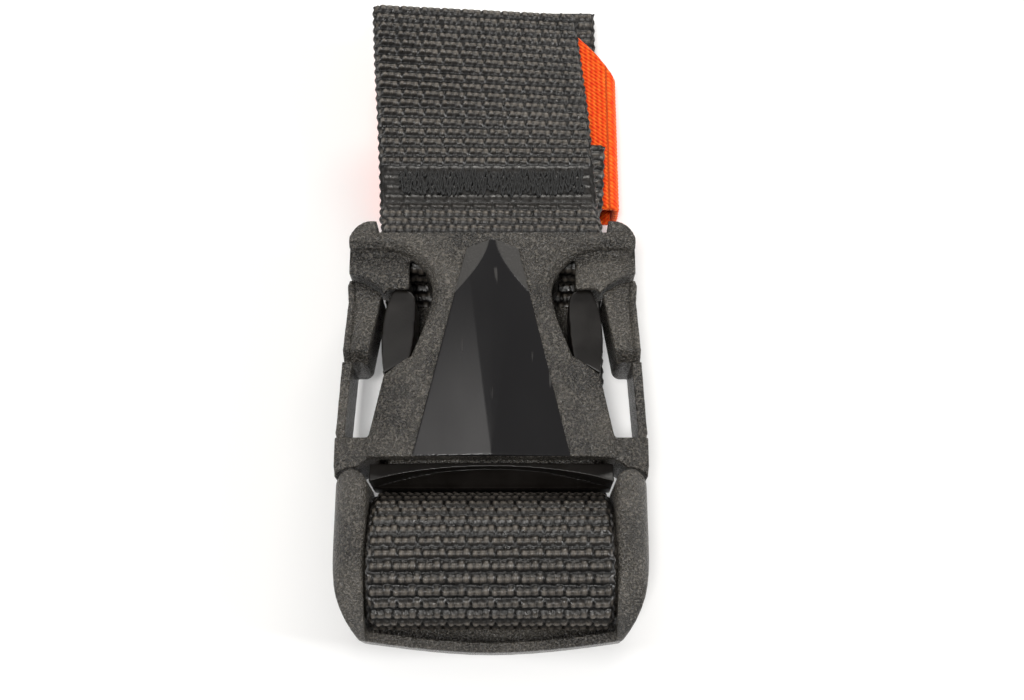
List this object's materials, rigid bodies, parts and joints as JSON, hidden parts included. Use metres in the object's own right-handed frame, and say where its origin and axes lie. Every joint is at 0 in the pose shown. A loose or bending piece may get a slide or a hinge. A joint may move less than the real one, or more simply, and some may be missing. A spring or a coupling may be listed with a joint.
{
  "type": "side release strap buckle",
  "caption": "Closed side-release buckle of a climbing spur leg strap: ladder-lock plug, socket with squeeze levers, sewn webbing loop, folded-back webbing and an orange keeper band.",
  "frame": {"origin": "on the surface the buckle lies on, at the underside of the webbing tail, in the buckle's middle plane and level with the seam between socket and plug", "axes": "+X across the strap, to the right as seen from the front; +Y along the strap, from the plug towards the socket and its sewn strap; +Z out of the buckle's front face"},
  "size_m": [0.0328, 0.0786, 0.0137],
  "materials": {
    "textured_plastic": "fine spark-eroded grain, warm charcoal",
    "polished_plastic": "polished black, lightly scratched",
    "smooth_plastic": "smooth satin black",
    "black_webbing": "coarse woven nylon webbing",
    "black_thread": "bonded sewing thread",
    "orange_band": "fine woven orange band",
    "orange_thread": "orange sewing thread"
  },
  "bodies": {
    "socket": {"socket_shell": "textured_plastic", "centre_panel": "polished_plastic", "strap_bar": "textured_plastic"},
    "left_lever": {"left_lever_arm": "textured_plastic", "left_press_pad": "textured_plastic"},
    "right_lever": {"right_lever_arm": "textured_plastic", "right_press_pad": "textured_plastic"},
    "plug": {"left_rail": "textured_plastic", "right_rail": "textured_plastic", "crossbar": "polished_plastic", "adjuster_bar": "textured_plastic", "end_bar": "textured_plastic", "guide_tongue": "smooth_plastic", "adjustable_strap": "black_webbing"},
    "left_prong": {"left_prong_arm": "smooth_plastic", "left_prong_head": "smooth_plastic"},
    "right_prong": {"right_prong_arm": "smooth_plastic", "right_prong_head": "smooth_plastic"},
    "front_strap": {"sewn_strap": "black_webbing", "bar_tack": "black_thread"},
    "keeper": {"keeper_band": "orange_band", "keeper_seam": "orange_thread"}
  },
  "joints": [
    {"name": "left_lever_press", "type": "hinge", "parent": "socket", "child": "left_lever", "pos_m": [-0.01585, 0.0043, 0.0089], "axis": [0, 0, -1], "range_deg": [0, 11], "stiffness_Nm_per_rad": 0.4},
    {"name": "right_lever_press", "type": "hinge", "parent": "socket", "child": "right_lever", "pos_m": [0.01585, 0.0043, 0.0089], "axis": [0, 0, 1], "range_deg": [0, 11], "stiffness_Nm_per_rad": 0.4},
    {"name": "left_prong_flex", "type": "hinge", "parent": "plug", "child": "left_prong", "pos_m": [-0.00975, 0.00395, 0.0084], "axis": [0, 0, -1], "range_deg": [0, 10]},
    {"name": "right_prong_flex", "type": "hinge", "parent": "plug", "child": "right_prong", "pos_m": [0.00975, 0.00395, 0.0084], "axis": [0, 0, 1], "range_deg": [0, 10]},
    {"name": "plug_pull", "type": "slide", "parent": "socket", "child": "plug", "axis": [0, -1, 0], "range_m": [0, 0.024], "deforming": ["left_prong_arm", "left_prong_head", "right_prong_arm", "right_prong_head"]},
    {"name": "strap_swing", "type": "hinge", "parent": "socket", "child": "front_strap", "pos_m": [0, 0.0258, 0.0077], "axis": [1, 0, 0], "range_deg": [0, 30]},
    {"name": "keeper_slide", "type": "slide", "parent": "socket", "child": "keeper", "axis": [0, 1, 0], "range_m": [0, 0.003]}
  ],
  "couplings": [
    {"joint": "left_prong_flex", "follows": "left_lever_press", "ratio": 0.88},
    {"joint": "right_prong_flex", "follows": "right_lever_press", "ratio": 0.88}
  ]
}
